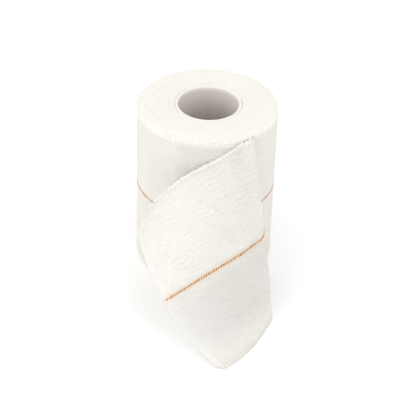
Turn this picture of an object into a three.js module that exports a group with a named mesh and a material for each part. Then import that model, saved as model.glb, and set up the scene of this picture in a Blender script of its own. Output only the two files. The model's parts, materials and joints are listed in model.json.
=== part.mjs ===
// Elastic bandage roll standing on end, its loose end peeled off and folded back across the front.
// Millimetres, +Z up, the viewer on the -Y side, the roll's axis on X = Y = 0 until the last lines.
import * as THREE from 'three';

// Driving dimensions
const bandWidth = 75;
const clothThickness = 1.1;
const pieceGap = 0.3;
const rollRadius = 30.3;
const rimRound = 1.3;
const coreBoreRadius = 12.9;
const coreWall = 1.3;

// Loose end: it starts at the root angle, and turns back on a slanted fold line that sags towards the roll
const rootAngle = THREE.MathUtils.degToRad(-128);
const foldFoot = { x: 23.4, y: -40.5, bend: 9.5 };
const foldSag = { x: 16.5, y: -31.4 };
const foldTop = { x: 17.0, y: -25.1, bend: 1.2 };
const bendTaper = 1.7;
const dropEase = 0.2;
const cornerRound = 4;

// Cut end of the folded flap, from the lower selvedge to the upper one: its place, and how far
// the lengthwise thread that ends there bows upwards and swells outwards on the way
const cutEnd = [
  { share: 0.00, x: 9.0, y: -84.0, z: 0.0, bow: 0.0, swell: 2.4 },
  { share: 0.25, x: -4.5, y: -75.5, z: 10.5, bow: -1.0, swell: 1.2 },
  { share: 0.50, x: -15.0, y: -69.5, z: 24.0, bow: 0.0, swell: 0.0 },
  { share: 0.75, x: -23.5, y: -58.0, z: 36.0, bow: 3.0, swell: 0.3 },
  { share: 1.00, x: -27.7, y: -42.5, z: 40.0, bow: 6.5, swell: 1.0 },
];

// Steps of the meshes
const turnSteps = 96;
const rimSteps = 4;
const acrossSteps = 24;
const threadSteps = { arc: 16, run: 6, bend: 9, flap: 16 };

const fullTurn = 2 * Math.PI;
const spiralStep = clothThickness + pieceGap;
const gapAngle = pieceGap / rollRadius;

const clothMaterial = new THREE.MeshStandardMaterial({ color: 0xf6f2ea, roughness: 0.95, metalness: 0 });
const boardMaterial = new THREE.MeshStandardMaterial({ color: 0xb8b2a8, roughness: 0.85, metalness: 0 });

// Outside radius of the wound roll: one step larger after each turn, counted from the root angle
function woundRadius(angle) {
  const turned = THREE.MathUtils.euclideanModulo(angle - rootAngle, fullTurn);
  return rollRadius - spiralStep * (1 - turned / fullTurn);
}

// A closed mesh from its vertices and quads
function closedGeometry(points, quads) {
  const geometry = new THREE.BufferGeometry().setFromPoints(points);
  geometry.setIndex(quads.flatMap(([a, b, c, d]) => [a, b, c, a, c, d]));
  geometry.computeVertexNormals();
  return geometry;
}

// Board tube in the middle of the roll
function coreTubeGeometry() {
  const outside = coreBoreRadius + coreWall;
  const profile = [
    new THREE.Vector2(coreBoreRadius, 0),
    new THREE.Vector2(outside, 0),
    new THREE.Vector2(outside, bandWidth),
    new THREE.Vector2(coreBoreRadius, bandWidth),
    new THREE.Vector2(coreBoreRadius, 0),
  ];
  return new THREE.LatheGeometry(profile, turnSteps / 2).rotateX(Math.PI / 2);
}

// Section of the wound cloth: out along the base, up the outside with soft rims, back along the top
function rollSection(outside, inside) {
  const section = [new THREE.Vector2(inside, 0)];
  for (const [centreHeight, start] of [[rimRound, -0.5], [bandWidth - rimRound, 0]]) {
    for (let i = 0; i <= rimSteps; i += 1) {
      const turn = Math.PI * (start + 0.5 * i / rimSteps);
      const reach = outside - rimRound + rimRound * Math.cos(turn);
      section.push(new THREE.Vector2(reach, centreHeight + rimRound * Math.sin(turn)));
    }
  }
  section.push(new THREE.Vector2(inside, bandWidth));
  return section;
}

// Wound cloth: its section carried once round the spiral, with a step where the loose end begins
function woundRollGeometry() {
  const inside = coreBoreRadius + coreWall + pieceGap;
  const sectionSize = rollSection(rollRadius, inside).length;
  const points = [];
  const quads = [];
  for (let i = 0; i <= turnSteps; i += 1) {
    const angle = rootAngle + (fullTurn - gapAngle) * i / turnSteps;
    for (const { x: reach, y: height } of rollSection(woundRadius(angle), inside)) {
      points.push(new THREE.Vector3(reach * Math.cos(angle), reach * Math.sin(angle), height));
    }
  }
  for (let i = 0; i <= turnSteps; i += 1) {
    const next = (i + 1) % (turnSteps + 1);
    for (let j = 0; j < sectionSize; j += 1) {
      const up = (j + 1) % sectionSize;
      quads.push([
        i * sectionSize + j, next * sectionSize + j, next * sectionSize + up, i * sectionSize + up,
      ]);
    }
  }
  return closedGeometry(points, quads);
}

const foldPoints = [foldFoot, foldSag, foldTop].map(({ x, y }) => new THREE.Vector2(x, y));
const foldLine = new THREE.QuadraticBezierCurve(...foldPoints);
const cutLine = new THREE.CatmullRomCurve3(cutEnd.map((row) => new THREE.Vector3(row.x, row.y, row.z)));
const bowLine = new THREE.SplineCurve(cutEnd.map((row) => new THREE.Vector2(row.share, row.bow)));
const swellLine = new THREE.SplineCurve(cutEnd.map((row) => new THREE.Vector2(row.share, row.swell)));

// How far a thread has dropped along the flap: it eases in over the fold, then falls evenly
function dropShare(along) {
  const eased = along < dropEase ? along * along / (2 * dropEase) : along - dropEase / 2;
  return eased / (1 - dropEase / 2);
}

// Shape of a thread's bow, highest three quarters of the way to the cut end
function bowShare(along) {
  return 256 / 27 * along ** 3 * (1 - along);
}

// How far the rounded corners draw a thread back from the cut end
function cornerCut(share) {
  const fromSelvedge = bandWidth * Math.min(share, 1 - share);
  const inside = Math.max(1 - fromSelvedge / cornerRound, 0);
  return cornerRound * (1 - Math.sqrt(1 - inside ** 2));
}

// Radius of the middle of the cloth where it still lies on the roll
function sheetRadius(angle) {
  return woundRadius(angle) + pieceGap + clothThickness / 2;
}

// Where a thread at a share of the width leaves the roll, and the point on the fold line it runs to
function foldAt(share) {
  const { x, y } = foldLine.getPoint(share);
  const bend = THREE.MathUtils.lerp(foldFoot.bend, foldTop.bend, share ** bendTaper);
  let peel = rootAngle;
  for (let pass = 0; pass < 4; pass += 1) {
    peel = Math.atan2(y, x) - Math.acos(sheetRadius(peel) / Math.hypot(x, y));
  }
  return { x, y, bend, peel };
}

// First stretch of a thread: round the roll, then off on a tangent to the fold line
function outgoingPoints(share, fold) {
  const level = share * bandWidth;
  const points = [];
  for (let i = 0; i < threadSteps.arc; i += 1) {
    const angle = THREE.MathUtils.lerp(rootAngle + gapAngle, fold.peel, i / threadSteps.arc);
    const radius = sheetRadius(angle);
    points.push(new THREE.Vector3(radius * Math.cos(angle), radius * Math.sin(angle), level));
  }
  const peelRadius = sheetRadius(fold.peel);
  const leave = new THREE.Vector3(peelRadius * Math.cos(fold.peel), peelRadius * Math.sin(fold.peel), level);
  const foldStart = new THREE.Vector3(fold.x, fold.y, level);
  for (let i = 0; i < threadSteps.run; i += 1) {
    points.push(leave.clone().lerp(foldStart, i / threadSteps.run));
  }
  return points;
}

// Second stretch of a thread: round the fold, then off on a tangent to the cut end
function returningPoints(share, fold) {
  const level = share * bandWidth;
  const end = cutLine.getPoint(share);
  const bow = bowLine.getPoint(share).y;
  const swell = swellLine.getPoint(share).y;
  const centre = new THREE.Vector2(Math.cos(fold.peel), Math.sin(fold.peel)).multiplyScalar(fold.bend);
  centre.add(fold);
  const toEnd = new THREE.Vector2(end.x - centre.x, end.y - centre.y);
  const arcStart = fold.peel + Math.PI;
  let arcEnd = toEnd.angle() + Math.acos(fold.bend / toEnd.length());
  while (arcEnd > arcStart) {
    arcEnd -= fullTurn;
  }
  const arcLength = fold.bend * (arcStart - arcEnd);
  const flapLength = Math.sqrt(toEnd.lengthSq() - fold.bend ** 2);
  const outward = new THREE.Vector2(Math.cos(arcEnd), Math.sin(arcEnd));
  const flapStart = outward.clone().multiplyScalar(fold.bend).add(centre);
  const heightAt = (travelled) => {
    const along = travelled / (arcLength + flapLength);
    return level + (end.z - level) * dropShare(along) + bow * bowShare(along);
  };
  const points = [];
  for (let i = 0; i < threadSteps.bend; i += 1) {
    const angle = THREE.MathUtils.lerp(arcStart, arcEnd, i / threadSteps.bend);
    const x = centre.x + fold.bend * Math.cos(angle);
    const y = centre.y + fold.bend * Math.sin(angle);
    points.push(new THREE.Vector3(x, y, heightAt(fold.bend * (arcStart - angle))));
  }
  const kept = 1 - cornerCut(share) / flapLength;
  for (let i = 0; i <= threadSteps.flap; i += 1) {
    const along = kept * i / threadSteps.flap;
    const place = flapStart.clone().lerp(end, along);
    place.addScaledVector(outward, swell * Math.sin(Math.PI * along));
    points.push(new THREE.Vector3(place.x, place.y, heightAt(arcLength + flapLength * along)));
  }
  return points;
}

// One lengthwise thread of the loose end, at a share of the width above the lower selvedge
function threadPoints(share) {
  const fold = foldAt(share);
  return [...outgoingPoints(share, fold), ...returningPoints(share, fold)];
}

// Loose end: the sheet of all threads, given its thickness along its own normals
function looseEndGeometry() {
  const threads = [];
  for (let j = 0; j <= acrossSteps; j += 1) {
    threads.push(threadPoints(j / acrossSteps));
  }
  const columns = threads[0].length;
  const rows = threads.length;
  const within = (index, count) => THREE.MathUtils.clamp(index, 0, count - 1);
  const at = (i, j) => threads[within(j, rows)][within(i, columns)];
  const points = [];
  for (const side of [1, -1]) {
    for (let j = 0; j < rows; j += 1) {
      for (let i = 0; i < columns; i += 1) {
        const along = at(i + 1, j).clone().sub(at(i - 1, j));
        const across = at(i, j + 1).clone().sub(at(i, j - 1));
        const normal = along.cross(across).normalize();
        const point = at(i, j).clone().addScaledVector(normal, side * clothThickness / 2);
        point.z = Math.max(point.z, 0);
        points.push(point);
      }
    }
  }
  const outer = (i, j) => j * columns + i;
  const inner = (i, j) => (rows + j) * columns + i;
  const quads = [];
  for (let j = 0; j + 1 < rows; j += 1) {
    for (let i = 0; i + 1 < columns; i += 1) {
      quads.push([outer(i, j), outer(i + 1, j), outer(i + 1, j + 1), outer(i, j + 1)]);
      quads.push([inner(i, j), inner(i, j + 1), inner(i + 1, j + 1), inner(i + 1, j)]);
    }
  }
  for (let i = 0; i + 1 < columns; i += 1) {
    quads.push([inner(i, 0), inner(i + 1, 0), outer(i + 1, 0), outer(i, 0)]);
    quads.push([outer(i, rows - 1), outer(i + 1, rows - 1), inner(i + 1, rows - 1), inner(i, rows - 1)]);
  }
  for (let j = 0; j + 1 < rows; j += 1) {
    quads.push([inner(0, j), outer(0, j), outer(0, j + 1), inner(0, j + 1)]);
    const last = columns - 1;
    quads.push([outer(last, j), inner(last, j), inner(last, j + 1), outer(last, j + 1)]);
  }
  return closedGeometry(points, quads);
}

function namedMesh(name, geometry, material) {
  const mesh = new THREE.Mesh(geometry, material);
  mesh.name = name;
  return mesh;
}

const bandageRoll = new THREE.Group();
bandageRoll.add(
  namedMesh('core_tube', coreTubeGeometry(), boardMaterial),
  namedMesh('wound_roll', woundRollGeometry(), clothMaterial),
  namedMesh('loose_end', looseEndGeometry(), clothMaterial),
);

// The origin is the middle of the underside of the whole part
const reach = new THREE.Box3().setFromObject(bandageRoll);
const middle = reach.getCenter(new THREE.Vector3());
bandageRoll.position.set(-middle.x, -middle.y, -reach.min.z);

export default bandageRoll;
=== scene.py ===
import json
import math

import bpy
import numpy as np
from mathutils import Matrix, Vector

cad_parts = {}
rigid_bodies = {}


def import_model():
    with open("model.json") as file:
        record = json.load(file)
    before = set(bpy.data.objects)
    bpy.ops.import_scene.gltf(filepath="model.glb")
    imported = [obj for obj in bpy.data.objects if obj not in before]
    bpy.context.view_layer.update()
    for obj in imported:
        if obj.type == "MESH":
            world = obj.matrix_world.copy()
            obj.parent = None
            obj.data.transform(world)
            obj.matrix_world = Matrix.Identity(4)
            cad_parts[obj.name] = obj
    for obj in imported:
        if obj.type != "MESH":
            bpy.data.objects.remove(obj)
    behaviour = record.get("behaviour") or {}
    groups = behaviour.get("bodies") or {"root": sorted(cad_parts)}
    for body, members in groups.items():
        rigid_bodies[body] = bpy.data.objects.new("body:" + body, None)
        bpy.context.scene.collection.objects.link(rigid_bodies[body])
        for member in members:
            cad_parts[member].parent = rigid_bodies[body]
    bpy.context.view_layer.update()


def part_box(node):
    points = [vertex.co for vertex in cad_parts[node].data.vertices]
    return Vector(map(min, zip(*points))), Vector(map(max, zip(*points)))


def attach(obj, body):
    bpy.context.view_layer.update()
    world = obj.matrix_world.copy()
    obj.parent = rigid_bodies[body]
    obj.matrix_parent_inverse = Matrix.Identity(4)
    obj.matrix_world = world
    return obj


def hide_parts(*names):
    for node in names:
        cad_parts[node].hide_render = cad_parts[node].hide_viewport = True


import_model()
mm = 0.001
fullTurn = 2 * math.pi
coreLow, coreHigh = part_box("core_tube")
axisPlace = np.array([(coreLow.x + coreHigh.x) / 2, (coreLow.y + coreHigh.y) / 2, 0.0])
print("frame loaded, foot of the roll's axis at", axisPlace.round(5))

# sizes in millimetres, measured from the foot of the roll's axis
# u runs along the strip from the root, v across it from the lower selvedge
strip = {
    "width": 75.0,
    "thick": 1.1,
    "gap": 0.3,                    # air between the loose end and the turn under it
    "rollRadius": 30.3,
    "coreRadius": 14.2,
    "rootAngle": math.radians(-128),
    "tuckAngle": math.radians(4),  # the first stretch is sunk into the outermost turn
    "tuckDepth": 0.45,
    "peelRounds": 4,
    "foldFoot": (23.4, -40.5),
    "foldSag": (16.5, -31.4),      # control point between the foot and the top
    "foldTop": (17.0, -25.1),
    "bendFoot": 9.5,               # radius of the bend at the foot and at the top of the fold
    "bendTop": 0.85,
    "bendTaper": 1.7,
    "dropEase": 0.2,               # share of the way over which a thread begins to drop
    "cornerRound": 4.0,
    # points on each stretch of a thread
    "steps": {"tuck": 12, "wound": 60, "straight": 40, "fold": 60, "flap": 120},
}
# cut end of the flap from the lower selvedge to the upper one, with each thread's bow and swell
cutEnd = [
    {"x": 9.0, "y": -84.0, "z": 0.0, "bow": 0.0, "swell": 2.4},
    {"x": -4.5, "y": -75.5, "z": 10.5, "bow": -1.0, "swell": 1.2},
    {"x": -15.0, "y": -69.5, "z": 24.0, "bow": 0.0, "swell": 0.0},
    {"x": -23.5, "y": -58.0, "z": 36.0, "bow": 3.0, "swell": 0.3},
    {"x": -27.7, "y": -42.5, "z": 40.0, "bow": 6.5, "swell": 0.4},
]
crepe = {
    "ribPitch": 1.9,
    "ribHeight": 0.2,
    "waver": (0.5, 3.2, 6.0),      # height of a noise, then its lengths along and across
    "fineWaver": (0.25, 1.5, 2.5),
    "ribMean": 0.55,               # the ribs come and go about this share of their height
    "ribChange": (0.45, 2.4, 1.3),
    "slub": (0.05, 2.2, 1.1),
    "woundShare": 0.5,             # flatter while wound under tension
}


def easeStep(x):
    x = np.clip(x, 0, 1)
    return x * x * (3 - 2 * x)


def easeOver(x, span):  # from 0 to 1, beginning at a start and taking a length
    start, length = span
    return easeStep((x - start) / length)


def blendValues(a, b, share):
    return a + (b - a) * share


def unitRows(rows):
    return rows / np.maximum(np.linalg.norm(rows, axis=-1, keepdims=True), 1e-12)


def heading(angle):
    return np.array([math.cos(angle), math.sin(angle)])


def ringPoints(radius, angle, level):  # points round the roll's axis
    return np.stack(np.broadcast_arrays(radius * np.cos(angle), radius * np.sin(angle), level), -1)


def lengthsAlong(path):  # distance travelled at each point of a path
    return np.concatenate([[0], np.cumsum(np.linalg.norm(np.diff(path, axis=0), axis=1))])


def readRows(stops, places, rows):  # rows of three numbers, read between their places
    return np.stack([np.interp(stops, places, rows[:, k]) for k in range(3)], 1)


def softNoise(u, v, seed):  # from -1 to 1, smooth between random values one unit apart
    cells = 64
    table = np.random.default_rng(seed).uniform(-1, 1, (cells, cells))
    iu = np.floor(u).astype(int)
    iv = np.floor(v).astype(int)
    fu = easeStep(u - iu)
    fv = easeStep(v - iv)
    near = table[iu % cells, iv % cells] * (1 - fu) + table[(iu + 1) % cells, iv % cells] * fu
    iv = iv + 1
    far = table[iu % cells, iv % cells] * (1 - fu) + table[(iu + 1) % cells, iv % cells] * fu
    return near * (1 - fv) + far * fv


def patches(setting, u, v, seed):  # noise of a height, with its lengths along and across
    height, alongLength, acrossLength = setting
    return height * softNoise(u / alongLength, v / acrossLength, seed)


def crepeRelief(u, v):  # wavy ribs that run along the strip and come and go
    waver = patches(crepe["waver"], u, v, 11) + patches(crepe["fineWaver"], u, v, 12)
    ribs = np.sin(fullTurn * (v / crepe["ribPitch"] + waver))
    share = crepe["ribMean"] + patches(crepe["ribChange"], u, v, 13)
    return crepe["ribHeight"] * ribs * share + patches(crepe["slub"], u, v, 14)


def woundRadius(angle):
    turned = (angle - strip["rootAngle"]) % fullTurn
    return strip["rollRadius"] - (strip["thick"] + strip["gap"]) * (1 - turned / fullTurn)


def woundSkin(turned):  # outside of the winding, brought up to the cloth that lies on it
    return strip["rollRadius"] - strip["thick"] * (1 - turned / fullTurn)


def sheetRadius(angle):  # middle of the loose cloth while it is still on the roll
    return woundRadius(angle) + strip["gap"] + strip["thick"] / 2


def throughRows(column, share):  # smooth curve through the rows of the cut end
    values = [row[column] for row in cutEnd]
    values = [2 * values[0] - values[1]] + values + [2 * values[-1] - values[-2]]
    last = len(cutEnd) - 1
    place = min(share * last, last - 1e-6)  # stays within the last stretch
    k = int(place)
    f = place - k
    a, b, c, d = values[k:k + 4]
    return b + 0.5 * f * (c - a + f * (2 * a - 5 * b + 4 * c - d + f * (3 * (b - c) + d - a)))


def foldPlace(share):  # a point of the fold line, a curve from its foot to its top
    corners = zip(strip["foldFoot"], strip["foldSag"], strip["foldTop"])
    rest = 1 - share
    return np.array([a * rest ** 2 + b * 2 * share * rest + c * share ** 2 for a, b, c in corners])


def peelAngle(fold):  # where a thread leaves the roll on a tangent to its fold
    toFold = math.atan2(fold[1], fold[0])
    peel = strip["rootAngle"]
    for step in range(strip["peelRounds"]):  # the radius changes a little with the angle
        peel = toFold - math.acos(sheetRadius(peel) / math.hypot(fold[0], fold[1]))
    return peel


def toTheFold(level, fold, peel):  # a thread from inside the root round the roll and straight to its fold
    steps = strip["steps"]
    root = strip["rootAngle"]
    tuck = strip["tuckAngle"]
    tuckAngles = np.linspace(root - tuck, root, steps["tuck"], endpoint=False)
    sunk = strip["tuckDepth"] * ((root - tuckAngles) / tuck) ** 2
    tuckRadii = strip["rollRadius"] - strip["thick"] / 2 - sunk
    onAngles = np.linspace(root, peel, steps["wound"], endpoint=False)
    angles = np.concatenate([tuckAngles, onAngles])
    radii = np.concatenate([tuckRadii, sheetRadius(onAngles)])
    leaving = heading(peel) * sheetRadius(peel)
    travelled = np.linspace(0, 1, steps["straight"], endpoint=False)[:, None]
    straight = leaving + (fold - leaving) * travelled
    return [ringPoints(radii, angles, level), np.column_stack([straight, np.full(len(straight), level)])]


def pastTheFold(share, level, fold, peel):  # the same thread round its fold and back to the cut end
    steps = strip["steps"]
    bend = blendValues(strip["bendFoot"], strip["bendTop"], share ** strip["bendTaper"])
    end = np.array([throughRows(column, share) for column in "xyz"])
    centre = fold + bend * heading(peel)
    toEnd = end[:2] - centre
    reach = math.hypot(toEnd[0], toEnd[1])
    arcStart = peel + math.pi
    arcEnd = math.atan2(toEnd[1], toEnd[0]) + math.acos(bend / reach)
    while arcEnd > arcStart:
        arcEnd -= fullTurn
    arcLength = bend * (arcStart - arcEnd)
    flapLength = math.sqrt(reach ** 2 - bend ** 2)

    def heightAt(travelled):
        part = travelled / (arcLength + flapLength)
        ease = strip["dropEase"]
        drop = np.where(part < ease, part ** 2 / (2 * ease), part - ease / 2) / (1 - ease / 2)
        bowPeak = 27 / 256  # highest value of the bow's curve
        bow = throughRows("bow", share) / bowPeak * part ** 3 * (1 - part)
        return level + (end[2] - level) * drop + bow

    arcAngles = np.linspace(arcStart, arcEnd, steps["fold"], endpoint=False)
    arc = centre + bend * np.stack([np.cos(arcAngles), np.sin(arcAngles)], 1)
    inset = max(1 - strip["width"] * min(share, 1 - share) / strip["cornerRound"], 0)
    cut = strip["cornerRound"] * (1 - math.sqrt(1 - inset ** 2))  # lost to the rounded corners
    flapShare = np.linspace(0, 1 - cut / flapLength, steps["flap"])
    outward = heading(arcEnd)
    start = centre + bend * outward
    flap = start + (end[:2] - start) * flapShare[:, None]
    flap = flap + outward * (throughRows("swell", share) * np.sin(math.pi * flapShare))[:, None]
    return [np.column_stack([arc, heightAt(bend * (arcStart - arcAngles))]),
            np.column_stack([flap, heightAt(arcLength + flapLength * flapShare)])]


def threadPath(share, count):  # one lengthwise thread in even steps, with its length from the root
    level = share * strip["width"]
    fold = foldPlace(share)
    peel = peelAngle(fold)
    path = np.concatenate(toTheFold(level, fold, peel) + pastTheFold(share, level, fold, peel))
    travel = lengthsAlong(path)
    even = np.linspace(0, travel[-1], count)
    tuckLength = strip["tuckAngle"] * (strip["rollRadius"] - strip["thick"] / 2)
    return readRows(even, travel, path), even - tuckLength


def addObject(name, data):
    obj = bpy.data.objects.new(name, data)
    bpy.context.scene.collection.objects.link(obj)
    return obj


def addMesh(name, points, faces, uv, material):  # points in mm from the axis foot, uv a pair a corner
    mesh = bpy.data.meshes.new(name)
    place = np.asarray(points, float) * mm + axisPlace
    mesh.from_pydata(place.tolist(), [], [list(map(int, face)) for face in faces])
    layer = mesh.uv_layers.new(name="strip")
    layer.data.foreach_set("uv", np.asarray(uv, np.float32).ravel())
    mesh.polygons.foreach_set("use_smooth", [True] * len(mesh.polygons))
    mesh.materials.append(material)
    return addObject(name, mesh)


def paintPoints(obj, **values):  # one number a point for the materials
    for key, value in values.items():
        layer = obj.data.attributes.new(key, "FLOAT", "POINT")
        layer.data.foreach_set("value", np.asarray(value, np.float32))


class Wire:  # a socket that takes part in shader sums
    def __init__(self, tree, socket):
        self.tree = tree
        self.socket = socket

    def make(self, kind, settings=None, inputs=None, out=0):
        node = self.tree.nodes.new(kind)
        for key, value in (settings or {}).items():
            setattr(node, key, value)
        for key, value in (inputs or {}).items():
            if isinstance(value, Wire):
                self.tree.links.new(value.socket, node.inputs[key])
            else:
                node.inputs[key].default_value = value
        return Wire(self.tree, node.outputs[out])

    def maths(self, operation, *values):
        return self.make("ShaderNodeMath", {"operation": operation}, dict(enumerate(values)))

    def __add__(self, other):
        return self.maths("ADD", self, other)

    __radd__ = __add__

    def __mul__(self, other):
        return self.maths("MULTIPLY", self, other)

    __rmul__ = __mul__

    def __sub__(self, other):
        return self.maths("SUBTRACT", self, other)

    def __rsub__(self, other):
        return self.maths("SUBTRACT", other, self)

    def __truediv__(self, other):
        return self.maths("DIVIDE", self, other)

    def wave(self, pitch):  # sine of this length, from -1 to 1
        return self.maths("SINE", self * (fullTurn / pitch))

    def rising(self, low, high):  # 0 at the first value and 1 at the second, eased between
        return self.make("ShaderNodeMapRange", {"interpolation_type": "SMOOTHSTEP"},
                         {"Value": self, "From Min": low, "From Max": high})

    def within(self, middle, half, soft):  # 1 inside a band, falling to 0 past its edges
        return self.maths("ABSOLUTE", self - middle).rising(half + soft, half)

    def mixed(self, first, second):  # this value blends two colours
        inputs = {0: self, 6: first, 7: second}  # 6 and 7 are its colour sockets
        return self.make("ShaderNodeMix", {"data_type": "RGBA"}, inputs, out=2)

    def noise(self, scale, detail=2.0):  # in object coordinates
        place = self.make("ShaderNodeTexCoord", None, None, out=3)
        return self.make("ShaderNodeTexNoise", None, {"Vector": place, "Scale": scale, "Detail": detail})

    def painted(self, name):  # a number painted on the points
        return self.make("ShaderNodeAttribute", {"attribute_name": name}, None, out=2)


def startMaterial(name, look):
    material = bpy.data.materials.new(name)
    material.use_nodes = True
    tree = material.node_tree
    shader = tree.nodes["Principled BSDF"]
    shader.inputs["Roughness"].default_value = look["rough"]
    shader.inputs["Specular IOR Level"].default_value = look["shine"]
    first = Wire(tree, shader.outputs[0])

    def finish(colour, height=None, thin=None):
        tree.links.new(colour.socket, shader.inputs["Base Color"])
        if height is not None:
            bump = first.make("ShaderNodeBump", None, {
                "Strength": look["bumpStrength"], "Distance": look["bumpDepth"] * mm, "Height": height})
            tree.links.new(bump.socket, shader.inputs["Normal"])
        if thin is not None:  # share of the light that goes through
            through = first.make("ShaderNodeBsdfTranslucent", None, {"Color": look["throughTint"]})
            both = first.make("ShaderNodeMixShader", None, {0: thin, 1: first, 2: through})
            tree.links.new(both.socket, tree.nodes["Material Output"].inputs["Surface"])
        return material

    return first, finish


def stripCoordinates(first):  # millimetres along and across the strip, from the piece's own map
    uv = first.make("ShaderNodeUVMap", {"uv_map": "strip"})
    along = first.make("ShaderNodeSeparateXYZ", None, {0: uv}, out=0)
    across = first.make("ShaderNodeSeparateXYZ", None, {0: uv}, out=1)
    return along * (1 / mm), across * (1 / mm)


# bands give a middle, a half width and a soft edge in millimetres, or the last two alone
clothLook = {
    "rough": 0.95,
    "shine": 0.2,
    "bumpStrength": 0.5,
    "bumpDepth": 0.15,
    "light": (0.735, 0.712, 0.672, 1),
    "shade": (0.56, 0.538, 0.472, 1),
    "thinLight": (0.915, 0.893, 0.848, 1),
    "thinShade": (0.70, 0.678, 0.628, 1),
    "flapRise": (34.0, 50.0),            # from and to, along the strip past the fold
    "throughTint": (0.915, 0.913, 0.908, 1),
    "through": 0.45,
    "throughLow": 0.32,                  # more below the line, where the cloth hangs over a hollow
    "lowBand": (23.0, 7.0, 13.0),
    "backed": 0.85,                      # share of that light lost where the flap lies on the roll
    "warpPitch": 2.1,                    # two rows of holes, half a step apart
    "weftPitch": 1.1,
    "cloudScale": 90.0,
    "cloudDetail": 3.0,
    "cloudMiddle": 0.6,
    "cloudShade": 0.3,
    "slubScale": 1100.0,
    "slubShade": 0.25,
    "slubHeight": 1.5,
    "drift": 0.5,                        # millimetres over which the slubs shift the threads
    "holeShade": 0.28,
    "ribShade": 0.16,
    "flapContrast": 1.9,
    "flapLift": 0.27,
    "flapShadowBand": (21.0, 9.0, 7.0),        # painted shade under the flap, where the cloth leaves the roll, with its weave holes drawn darker there
    "flapShadowDepth": 0.3,
    "flapShadowHoles": 0.34,
    "lineTint": (0.90, 0.62, 0.33, 1),
    "lineBand": (0.5, 0.4),
    "lineShare": 0.8,
    "wornTint": (0.53, 0.335, 0.22, 1),  # duller on the outside of the roll
    "wornBand": (0.4, 0.35),
    "wornShare": 0.75,
    "edgeWidth": 2.8,
    "edgeSoft": 1.1,
    "edgeShare": 0.7,
    "barPitch": 1.7,
    "barGap": (0.60, 0.585, 0.50, 1),
    "barShare": 0.5,
    "pickBand": (1.7, 0.3, 0.3),
    "pickPitch": 1.3,
    "pickShare": 0.8,
}


def crepeCloth():
    look = clothLook
    first, finish = startMaterial("crepeCloth", look)
    along, across = stripCoordinates(first)
    middle = strip["width"] / 2
    cloudy = first.noise(look["cloudScale"], look["cloudDetail"])
    slubs = first.noise(look["slubScale"])
    drift = (slubs - 0.5) * look["drift"]
    weave = (across + drift).wave(look["warpPitch"]) * (along + drift).wave(look["weftPitch"])
    flap = along.rising(*look["flapRise"])  # one layer with air behind it
    # pale threads and the shade between them
    relief = (0.5 - 0.5 * weave) * look["holeShade"] - first.painted("ribs") * look["ribShade"]
    gapsAndShade = relief * (1.0 + look["flapContrast"] * flap) - flap * look["flapLift"]
    gapsAndShade = gapsAndShade + (look["cloudMiddle"] - cloudy) * look["cloudShade"] + (slubs - 0.5) * look["slubShade"]
    # painted shadow of the flap on the stretch leaving the roll, darker in the weave holes
    gapsAndShade = gapsAndShade + along.within(*look["flapShadowBand"]) * (look["flapShadowDepth"] - look["flapShadowHoles"] * weave)
    solid = gapsAndShade.mixed(look["light"], look["shade"])
    ground = flap.mixed(solid, gapsAndShade.mixed(look["thinLight"], look["thinShade"]))
    # the centre line under its stitches
    line = across.within(middle, *look["lineBand"]) * look["lineShare"]
    colour = (line * flap).mixed(ground, look["lineTint"])
    worn = across.within(middle, *look["wornBand"]) * look["wornShare"]
    colour = (worn * (1.0 - flap)).mixed(colour, look["wornTint"])
    # closer weave at the selvedges, with gaps between the edge stitches
    edge = 1.0 - across.within(middle, middle - look["edgeWidth"], look["edgeSoft"])
    colour = (edge * look["edgeShare"]).mixed(colour, flap.mixed(look["light"], look["thinLight"]))
    between = edge * flap * (0.5 - 0.5 * (along + drift).wave(look["barPitch"]))
    colour = (between * look["barShare"]).mixed(colour, look["barGap"])
    # pale last weft beside the cut
    spaced = 0.5 + 0.5 * across.wave(look["pickPitch"])
    picks = first.painted("fromCut").within(*look["pickBand"]) * spaced
    colour = (picks * look["pickShare"]).mixed(colour, look["thinLight"])
    thin = flap * (look["through"] + look["throughLow"] * across.within(*look["lowBand"]))
    thin = thin * (1.0 - look["backed"] * first.painted("pressed"))
    return finish(colour, weave + slubs * look["slubHeight"], thin)


yarnLook = {
    "rough": 0.9,
    "shine": 0.25,
    "bumpStrength": 0.4,
    "bumpDepth": 0.1,
    "speckRange": (0.35, 0.65),
    "selvedgeYarn": {"light": (0.90, 0.88, 0.835, 1), "shade": (0.80, 0.77, 0.715, 1), "scale": 600.0},
    "lineYarn": {"light": (0.37, 0.155, 0.045, 1), "shade": (0.50, 0.225, 0.07, 1), "scale": 700.0},
}


def plainYarn(name):  # with a little colour change along it
    first, finish = startMaterial(name, yarnLook)
    dye = yarnLook[name]
    low, high = yarnLook["speckRange"]
    speck = first.noise(dye["scale"])
    turn = first.make("ShaderNodeMapRange", None, {"Value": speck, "From Min": low, "From Max": high})
    return finish(turn.mixed(dye["light"], dye["shade"]), speck)


boardLook = {
    "rough": 0.8,
    "shine": 0.3,
    "bumpStrength": 0.25,
    "bumpDepth": 0.1,
    "plain": (0.55, 0.505, 0.47, 1),
    "fibre": (0.465, 0.425, 0.39, 1),
    "fibreScale": 420.0,
    "fibreDetail": 5.0,
    "fibreFrom": 0.35,
    "fibreContrast": 1.6,
    "litMouthColour": (0.72, 0.687, 0.65, 1),  # painted light: paler towards both ends, so the middle of the bore is left as painted shade
    "litMouthReach": 17.0,
    "litMouthShare": 0.9,
    "seam": (0.25, 0.235, 0.21, 1),
    "seamPitch": 44.0,
    "seamSlope": 0.55,
    "seamBand": (0.5, 0.004, 0.006),    # in shares of the pitch
    "seamShare": 0.35,
    "seamDepth": 2.0,
    "edge": (0.74, 0.695, 0.60, 1),
}


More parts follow.
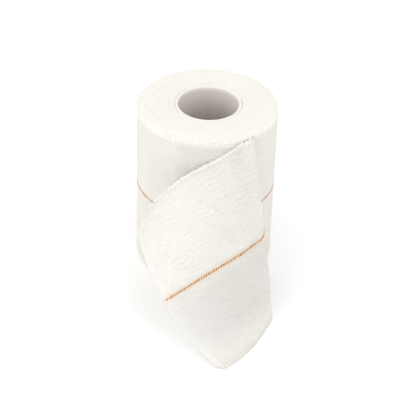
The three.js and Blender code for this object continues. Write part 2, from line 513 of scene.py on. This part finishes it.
def woundBoard():
    look = boardLook
    first, finish = startMaterial("woundBoard", look)
    around, up = stripCoordinates(first)
    middle = strip["width"] / 2
    fibres = first.noise(look["fibreScale"], look["fibreDetail"])
    colour = ((fibres - look["fibreFrom"]) * look["fibreContrast"]).mixed(look["plain"], look["fibre"])
    # painted light, paler towards both ends of the tube, which leaves the depth of the bore in painted
    # shade
    litMouth = 1.0 - up.within(middle, middle - look["litMouthReach"], look["litMouthReach"])
    colour = (litMouth * look["litMouthShare"]).mixed(colour, look["litMouthColour"])
    helix = (up + around * look["seamSlope"]) / look["seamPitch"]
    seam = helix.maths("FRACT", helix).within(*look["seamBand"])
    colour = (seam * look["seamShare"]).mixed(colour, look["seam"])
    colour = first.painted("cutFace").mixed(colour, look["edge"])
    return finish(colour, fibres - seam * look["seamDepth"])


cloth = crepeCloth()
selvedgeYarn = plainYarn("selvedgeYarn")
lineYarn = plainYarn("lineYarn")
board = woundBoard()
print("materials made")

coreTube = {"bore": 12.9, "wall": 1.3, "lip": 0.25, "sides": 160, "boreRings": 25, "boreInset": 2.0}


def makeCore():
    bore = coreTube["bore"]
    lip = coreTube["lip"]
    sides = coreTube["sides"]
    outside = bore + coreTube["wall"]
    top = strip["width"]
    inset = coreTube["boreInset"]
    rings = [(bore, lip, 0)]  # radius, height, cut face
    rings += [(bore, z, 0) for z in np.linspace(inset, top - inset, coreTube["boreRings"])]
    rings += [(bore, top - lip, 0), (bore + lip, top, 1), (outside - lip, top, 1)]
    rings += [(outside, top - lip, 0), (outside, lip, 0)]
    rings += [(outside - lip, 0, 1), (bore + lip, 0, 1)]
    angles = np.arange(sides) * fullTurn / sides
    points = np.concatenate([ringPoints(radius, angles, z) for radius, z, cutFace in rings])
    faces = []
    uv = []
    for k in range(len(rings)):
        up = (k + 1) % len(rings)
        low = rings[k][1] * mm
        high = rings[up][1] * mm
        for i in range(sides):
            j = (i + 1) % sides
            faces.append((k * sides + i, up * sides + i, up * sides + j, k * sides + j))
            start = angles[i] * bore * mm
            end = (angles[i] + fullTurn / sides) * bore * mm
            uv += [(start, low), (start, high), (end, high), (end, low)]
    obj = addMesh("boardCore", points, faces, uv, board)
    paintPoints(obj, cutFace=np.repeat([float(cutFace) for radius, z, cutFace in rings], sides))
    return obj


winding = {
    "columns": 360,
    "baseSamples": 24,
    "wallSamples": 150,
    "topSamples": 92,
    "coreGap": 0.1,
    "turnPitch": 1.1,
    "groove": 0.15,              # between one turn's edge and the next
    "ridgePower": 0.6,
    "unevenEdge": 0.16,
    "unevenRate": 1.3,           # noise cells a radian
    "fineRate": 6.0,
    "fineShare": 0.5,
    "noiseStart": 200,
    "rimDrop": 0.8,              # the outer turns sit lower, so the rim looks soft
    "rimReach": 4.0,
    "rimCalm": 0.5,              # share of the unevenness lost at the rim
    "topSink": 0.15,             # tops of the turns below the full width
    "topLimit": 0.3,             # no edge stands further over the width
    "ribFade": 1.5,              # the ribs begin over this length from the rims
    "rampAngle": math.radians(4),  # the step at the root is a short ramp
}


def turnEdges(radius, turned):  # height of the wound edges over the plain end of the roll
    turns = (strip["rollRadius"] - radius) / winding["turnPitch"] - (1 - turned / fullTurn)
    whole = np.floor(turns)
    ridge = np.abs(np.sin(math.pi * (turns - whole))) ** winding["ridgePower"] - 1
    travelled = turned - fullTurn * whole  # along the strip, so each turn differs from the next
    start = winding["noiseStart"]
    uneven = softNoise(travelled * winding["unevenRate"] + start, np.zeros_like(travelled), 21)
    fine = softNoise(travelled * winding["fineRate"] + start, np.ones_like(travelled), 22)
    return winding["groove"] * ridge + winding["unevenEdge"] * (uneven + winding["fineShare"] * fine)


def windingColumn(turned):  # radius and height over base, wall and top, with ribs and places across
    inside = strip["coreRadius"] + winding["coreGap"]
    height = strip["width"]
    roundEdge = strip["thick"] / 2
    sunk = float(easeStep(turned / winding["rampAngle"]))
    outside = blendValues(strip["rollRadius"], woundSkin(turned), sunk)
    # base, from the core outwards
    r = np.linspace(inside, outside - roundEdge, winding["baseSamples"])
    lift = winding["groove"] * np.sin(fullTurn * r / winding["turnPitch"])
    base = np.stack([r, np.maximum(lift, 0)], 1)
    # wall, with the crepe ribs of the outermost turn
    z = np.linspace(roundEdge, height - roundEdge - winding["rimDrop"], winding["wallSamples"])
    before = crepeRelief(np.full_like(z, turned * strip["rollRadius"]), z)
    after = crepeRelief(np.full_like(z, (turned - fullTurn) * strip["rollRadius"]), z)
    fade = easeStep(np.minimum(z, height - z) / winding["ribFade"])
    relief = blendValues(before, after, sunk) * fade * crepe["woundShare"]
    wall = np.stack([outside + relief, z], 1)
    # top, from the rim back to the core
    r = np.linspace(outside, inside, winding["topSamples"])
    rim = np.clip((r - outside) / winding["rimReach"] + 1, 0, 1) ** 2
    corner = np.clip((r - (outside - roundEdge)) / roundEdge, 0, 1)
    fall = roundEdge * (1 - np.sqrt(1 - corner ** 2))
    rise = turnEdges(r, turned) * (1 - winding["rimCalm"] * rim)
    level = height - winding["topSink"] + rise - winding["rimDrop"] * rim - fall
    top = np.stack([r, np.minimum(level, height + winding["topLimit"])], 1)[1:]
    ribs = np.concatenate([np.zeros(len(base)), relief / crepe["ribHeight"], np.zeros(len(top))])
    across = np.concatenate([np.zeros(len(base)), z, height + (outside - top[:, 0])])
    return np.concatenate([base, wall, top]), ribs, across


def makeWinding():
    count = winding["columns"]
    columns = []
    ribs = []
    for i in range(count):
        turned = fullTurn * i / count
        profile, columnRibs, across = windingColumn(turned)
        columns.append(ringPoints(profile[:, 0], strip["rootAngle"] + turned, profile[:, 1]))
        ribs.append(columnRibs)
    points = np.concatenate(columns)
    rows = len(across)
    faces = []
    uv = []
    for i in range(count):
        j = (i + 1) % count
        start = (i / count - 1) * fullTurn * strip["rollRadius"] * mm
        end = ((i + 1) / count - 1) * fullTurn * strip["rollRadius"] * mm
        for k in range(rows):
            n = (k + 1) % rows
            faces.append((i * rows + k, j * rows + k, j * rows + n, i * rows + n))
            low = across[k] * mm
            high = across[n] * mm if n else low
            uv += [(start, low), (end, low), (end, high), (start, high)]
    obj = addMesh("woundBandage", points, faces, uv, cloth)
    paintPoints(obj, ribs=np.concatenate(ribs), fromCut=np.full(len(points), 1000.0),  # far from the cut
                pressed=np.zeros(len(points)))
    return obj


# rises and fades give a place along the strip and the length they take
looseCloth = {
    "columns": 216,
    "rowStep": 0.5,
    "edgeRows": (0.0, 0.1, 0.28),  # finer rows beside each selvedge
    "edgeRound": 0.5,
    "edgeThin": 0.2,               # least share of the thickness, at the very edge
    "rimPower": 8,
    "rimFade": (24.0, 14.0),
    "swells": [                    # along, across, their reaches, height
        (82.0, 28.0, 14.0, 14.0, 1.2),
        (60.0, 20.0, 13.0, 10.0, -1.4),
        (55.5, 38.0, 4.5, 14.0, 1.5),
    ],
    "swellFoot": 8.0,              # they rise over this height from the lower selvedge
    "undulation": (0.35, 13.0, 11.0),
    "undulationRise": (48.0, 12.0),
    "leanRise": (46.0, 8.0),
    "restGap": 0.22,               # air where the flap lies against the cloth behind it
    "restReach": 2.6,
    "curlReach": 3.0,              # the upper selvedge curls in further
    "curlDepth": 6.0,
    "pressReach": 1.5,
    "pressFlat": 0.8,              # share of the ribs lost where it is pressed
    "slackRise": (32.0, 20.0),
    "ribFade": 1.5,
    "floorGap": 0.02,
}


def gridNormals(grid):
    return unitRows(np.cross(np.gradient(grid, axis=1), np.gradient(grid, axis=0)))


def sheetGrid():  # middle of the cloth, in rows from the lower selvedge up
    loose = looseCloth
    width = strip["width"]
    inner = np.arange(loose["rowStep"], width - loose["rowStep"] / 2, loose["rowStep"])
    edge = np.array(loose["edgeRows"])
    across = np.concatenate([edge, inner, width - edge[::-1]])
    paths = [threadPath(v / width, loose["columns"]) for v in across]
    grid = np.stack([points for points, lengths in paths])
    along = np.stack([lengths for points, lengths in paths])
    v = np.repeat(across[:, None], loose["columns"], 1)
    # on the roll the upper selvedge follows the soft rim
    onRoll = 1 - easeOver(along, loose["rimFade"])
    grid[..., 2] -= winding["rimDrop"] * (v / width) ** loose["rimPower"] * onRoll
    # the free cloth swells and dips a little past the fold and is nowhere quite even
    sag = patches(loose["undulation"], along, v, 17) * easeOver(along, loose["undulationRise"])
    for u0, v0, uReach, vReach, height in loose["swells"]:
        sag += height * np.exp(-((along - u0) / uReach) ** 2 - ((v - v0) / vReach) ** 2)
    grid = grid + gridNormals(grid) * (sag * easeStep(v / loose["swellFoot"]))[..., None]
    # where the flap comes near the roll it leans on it
    radius = np.hypot(grid[..., 0], grid[..., 1])
    skin = sheetRadius(np.arctan2(grid[..., 1], grid[..., 0]))
    rest = skin + strip["thick"] + loose["restGap"]
    free = easeOver(along, loose["leanRise"])
    air = np.maximum(radius - rest, 0)
    reach = loose["restReach"] + loose["curlReach"] * np.exp((v - width) / loose["curlDepth"])
    leaning = rest + air * (1 - np.exp(-air / reach))
    grid[..., :2] *= (1 + free * (leaning / radius - 1))[..., None]
    pressed = free * np.exp(-air / loose["pressReach"])
    return across, along, grid, gridNormals(grid), pressed


def quads(*corners):
    return np.stack(corners, -1).reshape(-1, 4)


def makeLooseEnd(across, along, grid, normal, pressed):
    loose = looseCloth
    rows, columns = along.shape
    v = np.repeat(across[:, None], columns, 1)
    fromCut = along[:, -1:] - along
    fromSide = np.minimum(np.minimum(v, strip["width"] - v), fromCut)
    inset = np.clip(1 - fromSide / loose["edgeRound"], 0, 1)
    half = strip["thick"] / 2 * np.maximum(np.sqrt(1 - inset ** 2), loose["edgeThin"])
    slack = blendValues(crepe["woundShare"], 1.0, easeOver(along, loose["slackRise"]))
    slack = slack * (1 - loose["pressFlat"] * pressed)
    relief = crepeRelief(along, v) * easeStep(fromSide / loose["ribFade"]) * slack
    outer = grid + normal * (relief + half)[..., None]
    inner = grid + normal * (relief - half)[..., None]
    for skin in (outer, inner):
        skin[..., 2] = np.maximum(skin[..., 2], loose["floorGap"])
    points = np.concatenate([outer.reshape(-1, 3), inner.reshape(-1, 3)])
    front = np.arange(rows * columns).reshape(rows, columns)
    back = front + rows * columns
    faces = np.concatenate([
        quads(front[:-1, :-1], front[:-1, 1:], front[1:, 1:], front[1:, :-1]),
        quads(back[:-1, :-1], back[1:, :-1], back[1:, 1:], back[:-1, 1:]),
        quads(back[0, :-1], back[0, 1:], front[0, 1:], front[0, :-1]),
        quads(front[-1, :-1], front[-1, 1:], back[-1, 1:], back[-1, :-1]),
        quads(back[:-1, 0], front[:-1, 0], front[1:, 0], back[1:, 0]),
        quads(front[:-1, -1], back[:-1, -1], back[1:, -1], front[1:, -1]),
    ])
    flatMap = np.stack([along.ravel(), v.ravel()], 1) * mm
    flatMap = np.concatenate([flatMap, flatMap])
    obj = addMesh("looseEnd", points, faces, flatMap[faces.ravel()], cloth)
    ribs = relief.ravel() / crepe["ribHeight"]
    paintPoints(obj, ribs=np.concatenate([ribs, -ribs]), fromCut=np.concatenate([fromCut.ravel()] * 2),
                pressed=np.concatenate([pressed.ravel()] * 2))
    return obj, outer, inner


def pointCloud(name, places, **directions):  # loose points with directions, for a node tree to dress
    mesh = bpy.data.meshes.new(name)
    mesh.from_pydata((np.asarray(places) * mm + axisPlace).tolist(), [], [])
    for key, value in directions.items():
        layer = mesh.attributes.new(key, "FLOAT_VECTOR", "POINT")
        layer.data.foreach_set("vector", np.asarray(unitRows(value), np.float32).ravel())
    return addObject(name, mesh)


def strewn(path, facing, setting, seed):  # places along a path at a pitch, a little uneven
    pitch = setting["pitch"]
    travel = lengthsAlong(path)
    stops = np.arange(pitch / 2, travel[-1], pitch)
    uneven = np.random.default_rng(seed).uniform(-setting["uneven"], setting["uneven"], len(stops))
    counted = np.arange(len(path))
    stops = np.interp(stops + uneven * pitch, travel, counted)
    run = np.gradient(path, axis=0)
    return [readRows(stops, counted, rows) for rows in (path, facing, run)]


class Graph:  # a geometry node tree with named inputs
    sizeRange = (0.82, 1.18)  # yarns differ a little in size

    def __init__(self, name, inputs, material):
        self.tree = bpy.data.node_groups.new(name, "GeometryNodeTree")
        self.inputs = inputs
        self.material = material
        self.addSocket("Geometry", "NodeSocketGeometry", "INPUT")
        self.addSocket("Geometry", "NodeSocketGeometry", "OUTPUT")
        self.ids = {}
        for key in inputs:
            kind = "NodeSocketInt" if key == "Seed" else "NodeSocketFloat"
            self.ids[key] = self.addSocket(key, kind, "INPUT").identifier
        self.source = self.tree.nodes.new("NodeGroupInput")

    def addSocket(self, name, kind, side):
        return self.tree.interface.new_socket(name, in_out=side, socket_type=kind)

    def given(self, key):
        return self.source.outputs[key]

    def add(self, kind, settings=None, inputs=None, out=0):
        node = self.tree.nodes.new(kind)
        for key, value in (settings or {}).items():
            setattr(node, key, value)
        for key, value in (inputs or {}).items():
            if isinstance(value, bpy.types.NodeSocket):
                self.tree.links.new(value, node.inputs[key])
            else:
                node.inputs[key].default_value = value
        return node.outputs[out]

    def vector(self, x, y, z):
        return self.add("ShaderNodeCombineXYZ", None, {0: x, 1: y, 2: z})

    def attribute(self, name):
        return self.add("GeometryNodeInputNamedAttribute", {"data_type": "FLOAT_VECTOR"}, {"Name": name})

    # a piece on every point of a cloud, turned by its directions and a little at random
    def dress(self, obj, piece, low, high, directions, axes):
        points = self.add("GeometryNodeMeshToPoints", None, {"Mesh": self.source.outputs[0]})
        facing = self.add("FunctionNodeAxesToRotation",
                          {"primary_axis": axes[0], "secondary_axis": axes[1]},
                          {0: self.attribute(directions[0]), 1: self.attribute(directions[1])})
        size = self.add("FunctionNodeRandomValue", {"data_type": "FLOAT"},
                        {2: self.sizeRange[0], 3: self.sizeRange[1], "Seed": self.given("Seed")}, out=1)
        placed = self.add("GeometryNodeInstanceOnPoints", None,
                          {"Points": points, "Instance": piece, "Rotation": facing, "Scale": size})
        jitter = self.add("FunctionNodeRandomValue", {"data_type": "FLOAT_VECTOR"},
                          {0: low, 1: high, "Seed": self.given("Seed")})
        turned = self.add("GeometryNodeRotateInstances", None, {"Instances": placed, "Rotation": jitter})
        real = self.add("GeometryNodeRealizeInstances", None, {"Geometry": turned})
        shaded = self.add("GeometryNodeSetShadeSmooth", None, {"Geometry": real})
        dyed = self.add("GeometryNodeSetMaterial", None, {"Geometry": shaded, "Material": self.material})
        self.tree.links.new(dyed, self.tree.nodes.new("NodeGroupOutput").inputs[0])
        modifier = obj.modifiers.new("dress", "NODES")
        modifier.node_group = self.tree
        for key, value in self.inputs.items():
            modifier[self.ids[key]] = value
        bpy.context.view_layer.update()
        whole = obj.evaluated_get(bpy.context.evaluated_depsgraph_get())
        mesh = bpy.data.meshes.new_from_object(whole)
        obj.modifiers.remove(modifier)
        obj.data = mesh
        return obj


stitches = {
    "inputs": {"Length": 0.95 * mm, "Width": 0.62 * mm, "Height": 0.55 * mm, "Seed": 5},
    "pitch": 1.22,
    "uneven": 0.05,            # share of the pitch
    "faceSeed": 31,
    "wallSeed": 32,
    "outerStart": 5,           # first columns of the sheet that carry stitches
    "innerStart": 30,
    "wallStart": math.radians(6),
    "wallSteps": 400,
    "wallSunk": 0.15,          # pressed into the cloth of the roll
    "slant": math.radians(28),
    "slantSpread": 0.15,
}


def makeCentreLine(across, outer, inner, normal):
    middle = strip["width"] / 2
    row = int(np.argmin(np.abs(across - middle)))
    stretches = []
    for skin, sign, start in ((outer, 1, stitches["outerStart"]), (inner, -1, stitches["innerStart"])):
        facing = normal[row][start:-1] * sign
        stretches.append(strewn(skin[row][start:-1], facing, stitches, stitches["faceSeed"]))
    turned = np.linspace(stitches["wallStart"], fullTurn, stitches["wallSteps"])
    angle = strip["rootAngle"] + turned
    wall = ringPoints(woundSkin(turned) - stitches["wallSunk"], angle, middle)
    stretches.append(strewn(wall, ringPoints(1.0, angle, 0.0), stitches, stitches["wallSeed"]))
    places, normals, runs = [np.concatenate(rows) for rows in zip(*stretches)]
    cloud = pointCloud("centreLine", places, facing=normals, along=runs)
    graph = Graph("stitchLine", stitches["inputs"], lineYarn)
    ball = graph.add("GeometryNodeMeshUVSphere", None, {"Segments": 10, "Rings": 7, "Radius": 0.5})
    sizes = graph.vector(graph.given("Length"), graph.given("Width"), graph.given("Height"))
    stitch = graph.add("GeometryNodeTransform", None, {"Geometry": ball, "Scale": sizes})
    low = (0, 0, stitches["slant"] - stitches["slantSpread"])
    high = (0, 0, stitches["slant"] + stitches["slantSpread"])
    return graph.dress(cloud, stitch, low, high, ("facing", "along"), "ZX")


loops = {
    "inputs": {"Half": 0.36 * mm, "Reach": 1.6 * mm, "Yarn": 0.17 * mm, "Seed": 9},
    "pitch": 1.25,
    "uneven": 0.2,
    "usedColumns": slice(4, -6),  # clear of the root and of the rounded corners
    "inRows": 5,               # the way out of the cloth is taken over these
    "sheetSeed": 41,
    "rimSeed": 45,
    "lift": 0.42,              # from the middle of the cloth
    "inset": 1.4,              # from the selvedge to the foot of a loop
    "rimStart": math.radians(5),
    "rimSteps": 400,
    "rimSunk": 0.08,
    "topInset": 1.7,
    "baseInset": 2.5,
    "fullReach": 2.1,          # of the longest loop with its yarn
    "floorGap": 0.32,
    "turnLow": (-0.06, -0.15, -0.15),
    "turnHigh": (0.06, 0.15, 0.15),
}


def makeSelvedgeLoops(grid, normal):
    used = loops["usedColumns"]
    deep = loops["inRows"]
    stretches = []
    for row, inward in ((-1, -1 - deep), (0, deep)):  # upper and lower selvedge
        out = unitRows(grid[row] - grid[inward])[used]
        for side in (1, -1):  # both faces of the cloth
            path = (grid[row] + normal[row] * side * loops["lift"])[used] - out * loops["inset"]
            stretches.append(strewn(path, out, loops, loops["sheetSeed"] + row + side))
    turned = np.linspace(loops["rimStart"], fullTurn, loops["rimSteps"])
    angle = strip["rootAngle"] + turned
    radius = woundSkin(turned) - loops["rimSunk"]
    topLevel = strip["width"] - loops["topInset"] - winding["rimDrop"]
    for level, up in ((topLevel, 1), (loops["baseInset"], -1)):  # both rims of the roll
        rim = ringPoints(radius, angle, level)
        stretches.append(strewn(rim, ringPoints(0.0, angle, up), loops, loops["rimSeed"] + up))
    places, outs, runs = [np.concatenate(rows) for rows in zip(*stretches)]
    drop = np.minimum(unitRows(outs)[:, 2] * loops["fullReach"], 0)
    above = places[:, 2] + drop > loops["floorGap"]  # none reaches into the floor
    cloud = pointCloud("selvedgeLoops", places[above], outward=outs[above], along=runs[above])
    graph = Graph("selvedgeLoop", loops["inputs"], selvedgeYarn)
    arc = graph.add("GeometryNodeCurveArc", None,
                    {"Resolution": 9, "Radius": 1.0, "Start Angle": 0.0, "Sweep Angle": math.pi})
    sizes = graph.vector(graph.given("Half"), graph.given("Reach"), 1.0)
    bowed = graph.add("GeometryNodeTransform", None, {"Geometry": arc, "Scale": sizes})
    ring = graph.add("GeometryNodeCurvePrimitiveCircle", None,
                     {"Resolution": 5, "Radius": graph.given("Yarn")})
    loop = graph.add("GeometryNodeCurveToMesh", None,
                     {"Curve": bowed, "Profile Curve": ring, "Fill Caps": True})
    return graph.dress(cloud, loop, loops["turnLow"], loops["turnHigh"], ("outward", "along"), "YX")


frays = {
    "inputs": {"Reach": 0.9 * mm, "Root": 0.15 * mm, "Tip": 0.05 * mm, "Seed": 14},
    "pitch": 0.8,
    "uneven": 0.3,
    "usedRows": slice(3, -3),  # clear of the selvedges
    "edgeSeed": 51,
    "sunk": 0.3,
    "floorGap": 1.2,           # the lowest ends lie pressed on the floor
    "turnLow": (-0.25, -0.35, 0),
    "turnHigh": (0.25, 0.35, 0),
}


def makeCutFrays(grid):
    used = frays["usedRows"]
    out = unitRows(grid[:, -1] - grid[:, -3])[used]
    places, outs, runs = strewn(grid[used, -1], out, frays, frays["edgeSeed"])
    above = places[:, 2] > frays["floorGap"]
    places = places - outs * frays["sunk"]
    cloud = pointCloud("cutFrays", places[above], outward=outs[above], along=runs[above])
    graph = Graph("cutFray", frays["inputs"], selvedgeYarn)
    end = graph.add("GeometryNodeMeshCone", None,
                    {"Vertices": 5, "Radius Top": graph.given("Tip"),
                     "Radius Bottom": graph.given("Root"), "Depth": graph.given("Reach")})
    return graph.dress(cloud, end, frays["turnLow"], frays["turnHigh"], ("outward", "along"), "ZX")


core = makeCore()
print("board core:", len(core.data.polygons), "faces")
woundPiece = makeWinding()
print("wound bandage:", len(woundPiece.data.polygons), "faces")
across, along, grid, normal, pressed = sheetGrid()
loosePiece, outerSkin, innerSkin = makeLooseEnd(across, along, grid, normal, pressed)
print("loose end:", len(loosePiece.data.polygons), "faces")
print("longest thread past the root:", round(float(along[:, -1].max()), 1), "mm")
linePiece = makeCentreLine(across, outerSkin, innerSkin, normal)
loopPiece = makeSelvedgeLoops(grid, normal)
frayPiece = makeCutFrays(grid)
print("yarns:", [len(o.data.polygons) for o in (linePiece, loopPiece, frayPiece)], "faces")

for piece in (core, woundPiece, loosePiece, linePiece, loopPiece, frayPiece):
    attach(piece, "root")
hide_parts("core_tube")
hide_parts("wound_roll")
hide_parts("loose_end")
flatLength = float(np.mean(along[:, -1] - along[:, 0])) * mm
print("pieces joined to the frame")

# sizes of the stage are in metres
stage = {
    "floorHalf": 3.0,
    "floorLook": {"rough": 1.0, "shine": 0.0},
    "floorColour": (0.885, 0.885, 0.885, 1),
    "grainColour": (0.9, 0.9, 0.9, 1),
    "grainScale": 6.0,
    "grainShare": 0.02,
    "skyColour": (1, 1, 1, 1),
    "skyStrength": 0.94,
    "softboxes": {"leftBox": (-0.9, -0.42, 0.98), "rightBox": (0.85, -0.5, 1.25)},
    "boxSize": 1.6,
    "boxPower": 9.0,
    "boxAim": (0.0, 0.0, 0.04),
}


def lookMatrix(place, aim, roll):  # for a lamp or camera that looks along the aim
    forward = aim / np.linalg.norm(aim)
    level = np.cross(forward, (0, 0, 1))
    level = level / np.linalg.norm(level)
    steep = np.cross(level, forward)
    right = level * math.cos(roll) + steep * math.sin(roll)
    up = steep * math.cos(roll) - level * math.sin(roll)
    rows = np.column_stack([right, up, -forward, place]).tolist()
    return Matrix(rows + [[0, 0, 0, 1]])


def makeFloor():
    half = stage["floorHalf"]
    first, finish = startMaterial("paleFloor", stage["floorLook"])
    grain = first.noise(stage["grainScale"]) * stage["grainShare"]
    corners = [(-half, -half, 0), (half, -half, 0), (half, half, 0), (-half, half, 0)]
    mesh = bpy.data.meshes.new("floor")
    mesh.from_pydata(corners, [], [(0, 1, 2, 3)])
    mesh.materials.append(finish(grain.mixed(stage["floorColour"], stage["grainColour"])))
    addObject("floor", mesh)


def makeLights():
    world = bpy.data.worlds.new("softBox")
    world.use_nodes = True
    sky = world.node_tree.nodes["Background"]
    sky.inputs["Color"].default_value = stage["skyColour"]
    sky.inputs["Strength"].default_value = stage["skyStrength"]
    bpy.context.scene.world = world
    for name, place in stage["softboxes"].items():
        lamp = bpy.data.lights.new(name, "AREA")
        lamp.size = stage["boxSize"]
        lamp.energy = stage["boxPower"]
        aim = np.array(stage["boxAim"]) - np.array(place)
        addObject(name, lamp).matrix_world = lookMatrix(np.array(place), aim, 0.0)


view = {
    "target": (1.3, 0.0, 20.4),  # mm from the foot of the roll's axis
    "distance": 637.9,
    "elevation": math.radians(36.11),
    "roll": math.radians(1.96),
    "lens": 124.6,
    "sensor": 36.0,
}


def makeCamera():
    forward = np.array([0.0, math.cos(view["elevation"]), -math.sin(view["elevation"])])
    target = np.array(view["target"]) * mm + axisPlace
    lens = bpy.data.cameras.new("photoView")
    lens.lens = view["lens"]
    lens.sensor_width = view["sensor"]
    camera = addObject("photoView", lens)
    camera.matrix_world = lookMatrix(target - forward * view["distance"] * mm, forward, view["roll"])
    bpy.context.scene.camera = camera


makeFloor()
makeLights()
makeCamera()
bpy.context.scene.view_settings.view_transform = "Standard"
print("stage and camera set")
